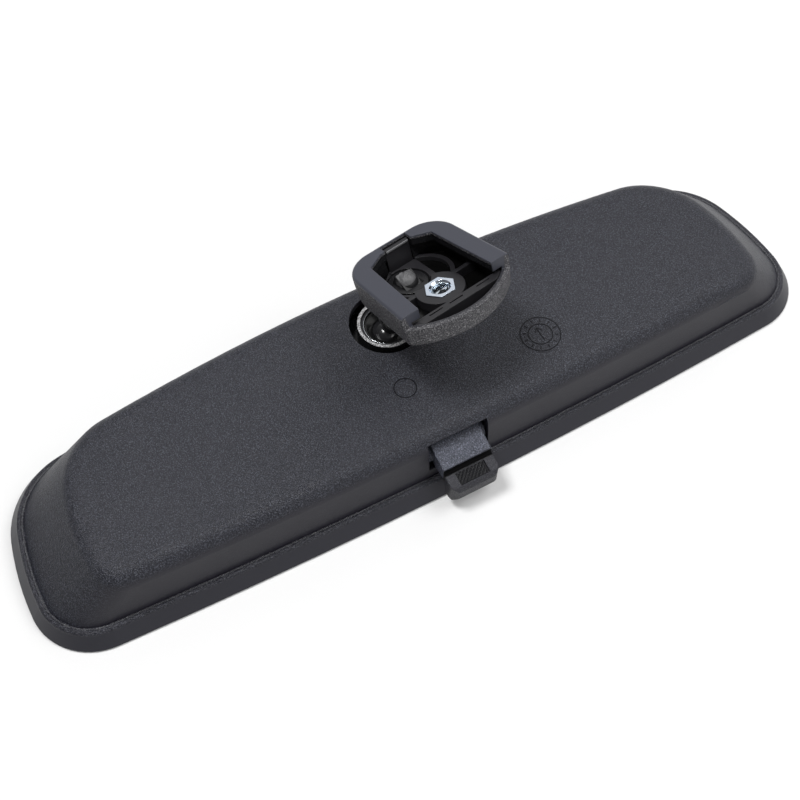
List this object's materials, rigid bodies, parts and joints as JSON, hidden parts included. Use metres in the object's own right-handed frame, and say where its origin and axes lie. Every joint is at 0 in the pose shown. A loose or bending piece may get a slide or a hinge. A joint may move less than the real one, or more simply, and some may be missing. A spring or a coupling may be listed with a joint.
{
  "type": "interior rearview mirror",
  "caption": "Interior rearview mirror with a prism glass, a day and night flip lever, a ball joint and a shoe that slides over a windshield button.",
  "frame": {"origin": "middle of the head's outline, on the plane of the bezel's front rim, where the glass side lies on a table", "axes": "+X along the head, +Y to the edge that is uppermost in use, +Z out of the back towards the bracket"},
  "size_m": [0.2502, 0.078, 0.0581],
  "materials": {
    "housing_plastic": "fine grain, black",
    "bezel_plastic": "satin black",
    "prism_glass": "polished",
    "silver_coat": "polished",
    "foam": "soft matte",
    "pin_steel": "ground",
    "spring_steel": "rolled",
    "carrier_plastic": "smooth black",
    "ring_plastic": "polished black",
    "clip_steel": "bright",
    "cover_steel": "rolled",
    "seat_nylon": "natural",
    "liner_nylon": "natural",
    "lever_plastic": "fine grain, black",
    "stud_coat": "gloss black",
    "shoe_plastic": "satin black",
    "insert_plastic": "smooth black",
    "nut_zinc": "bright zinc",
    "screw_steel": "dark",
    "latch_steel": "satin black"
  },
  "bodies": {
    "head": {"rear_housing": "housing_plastic", "bezel": "bezel_plastic", "prism_glass": "prism_glass", "silver_coat": "silver_coat", "foam_pad": "foam", "carrier_pins": "pin_steel", "lever_pin": "pin_steel", "detent_spring": "spring_steel"},
    "carrier": {"toggle_carrier": "carrier_plastic", "retainer_ring": "ring_plastic", "retainer_clip": "clip_steel", "wave_spring": "spring_steel", "socket_cover": "cover_steel"},
    "seat": {"seat_cup": "seat_nylon"},
    "liner": {"friction_shell": "liner_nylon"},
    "bracket": {"windshield_shoe": "shoe_plastic", "ball_stud": "stud_coat", "shoe_insert": "insert_plastic", "clamp_nut": "nut_zinc", "clamp_screw": "screw_steel"},
    "latch": {"latch_spring": "latch_steel"},
    "lever": {"toggle_lever": "lever_plastic", "link_pin": "pin_steel"}
  },
  "joints": [
    {"name": "carrier_rock", "type": "hinge", "parent": "head", "child": "carrier", "pos_m": [-0.0015, 0.022, 0.014], "axis": [1, 0, 0], "range_deg": [0, 3.9]},
    {"name": "lever_flip", "type": "hinge", "parent": "head", "child": "lever", "pos_m": [-0.0015, -0.027, 0.0125], "axis": [-1, 0, 0], "range_deg": [0, 26]},
    {"name": "arm_twist", "type": "hinge", "parent": "carrier", "child": "seat", "pos_m": [-0.0015, 0.011, 0.0156], "axis": [0, 0, 1], "continuous": true},
    {"name": "arm_swing", "type": "hinge", "parent": "seat", "child": "liner", "pos_m": [-0.0015, 0.011, 0.0156], "axis": [0, 1, 0], "range_deg": [-25, 6.5]},
    {"name": "arm_nod", "type": "hinge", "parent": "liner", "child": "bracket", "pos_m": [-0.0015, 0.011, 0.0156], "axis": [1, 0, 0], "range_deg": [-24.5, 7]},
    {"name": "latch_flex", "type": "hinge", "parent": "bracket", "child": "latch", "pos_m": [0.00556, 0.01431, 0.03988], "axis": [-0.9899, -0.1416, -0.0074], "range_deg": [0, 5], "stiffness_Nm_per_rad": 0.02}
  ],
  "couplings": [
    {"joint": "lever_flip", "follows": "carrier_rock", "ratio": 6.6666}
  ]
}
